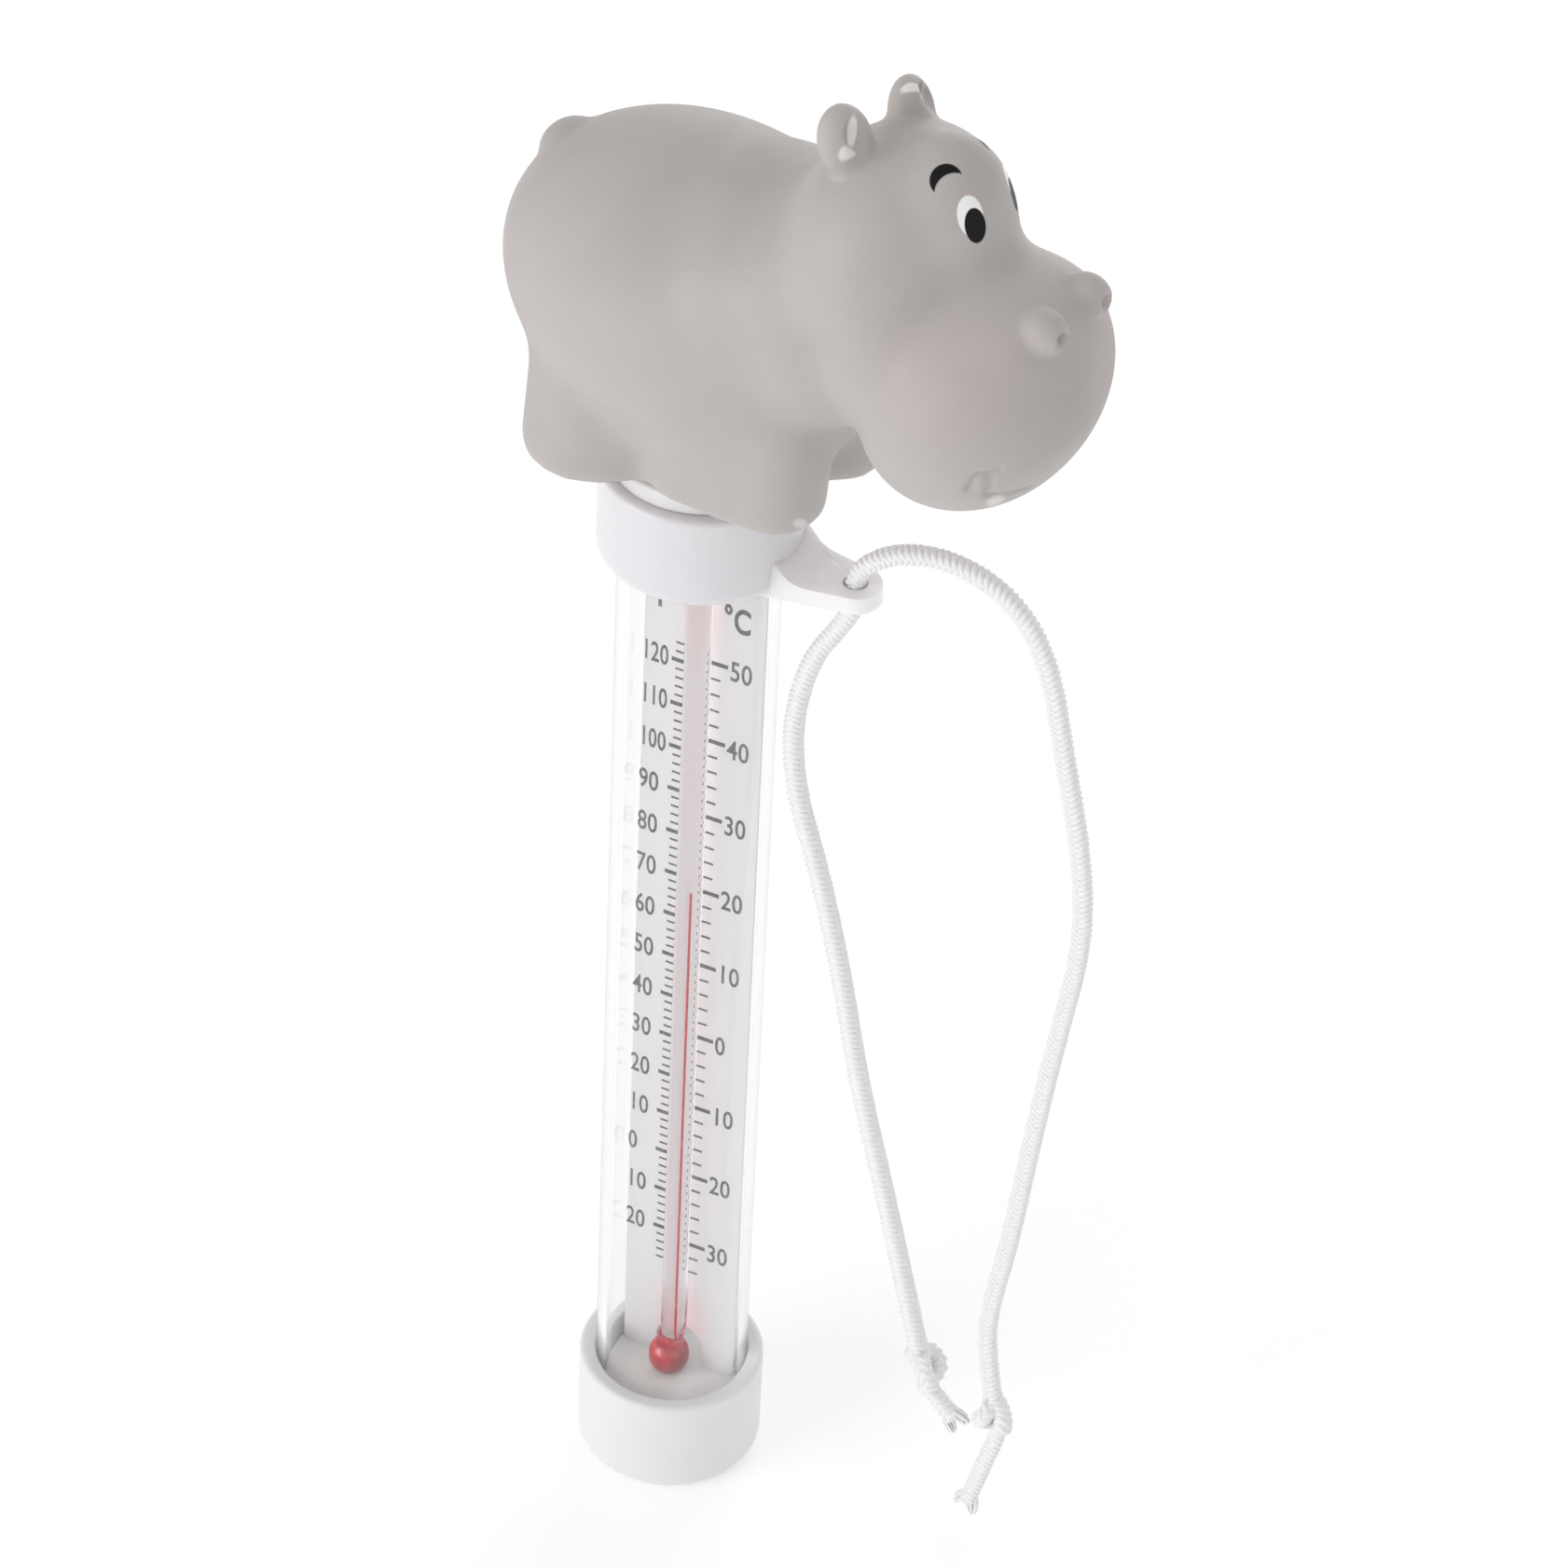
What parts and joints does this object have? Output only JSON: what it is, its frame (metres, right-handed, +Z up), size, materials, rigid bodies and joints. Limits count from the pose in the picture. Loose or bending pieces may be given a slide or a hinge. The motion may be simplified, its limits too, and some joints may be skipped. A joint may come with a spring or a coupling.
{
  "type": "floating pool thermometer",
  "caption": "Floating pool thermometer: clear tube with printed scale and red spirit stem, weighted cap, tether lug with braided cord, and a turning vinyl hippo on top.",
  "frame": {"origin": "centre of the bottom cap's flat underside, on the tube's axis", "axes": "+Z up along the tube's axis, +X the way the hippo faces at rest, the printed scale faces -Y"},
  "size_m": [0.0797, 0.0376, 0.225],
  "materials": {
    "white_cap": "plain white moulded plastic, satin",
    "white_collar": "white moulded plastic with a faint cool cast, semi-gloss",
    "frosted_plug": "slightly translucent white plastic",
    "clear_plastic": "clear polished plastic tube",
    "scale_white": "white printed plate with dark grey marks",
    "stem_glass": "clear drawn glass",
    "red_spirit": "red dyed spirit",
    "steel": "plain turned steel",
    "spring_steel": "stamped spring steel",
    "clear_rubber": "pale soft rubber",
    "white_foam": "pale closed-cell foam",
    "grey_vinyl": "soft matte warm-grey vinyl with painted details",
    "white_braid": "white braided polyester cord"
  },
  "bodies": {
    "float": {"bottom_cap": "white_cap", "bottom_gasket": "clear_rubber", "ballast_slug": "steel", "bulb_cushion": "white_foam", "clear_tube": "clear_plastic", "scale_plate": "scale_white", "glass_stem": "stem_glass", "bulb_spirit": "red_spirit", "spirit_column": "red_spirit", "top_bung": "clear_rubber", "tether_collar": "white_collar", "tether_cord_lower": "white_braid", "tether_cord_upper": "white_braid", "cord_knot_lower": "white_braid", "cord_knot_upper": "white_braid"},
    "figure": {"hippo_figure": "grey_vinyl", "turning_plug": "frosted_plug", "plug_clip": "spring_steel"},
    "meniscus": {"spirit_meniscus": "red_spirit"}
  },
  "joints": [
    {"name": "figure_turn", "type": "hinge", "parent": "float", "child": "figure", "pos_m": [0, 0, 0.1632], "axis": [0, 0, 1], "continuous": true},
    {"name": "spirit_rise", "type": "slide", "parent": "float", "child": "meniscus", "axis": [0, 0, 1], "range_m": [-0.0622, 0.0348], "deforming": ["spirit_column"]}
  ]
}
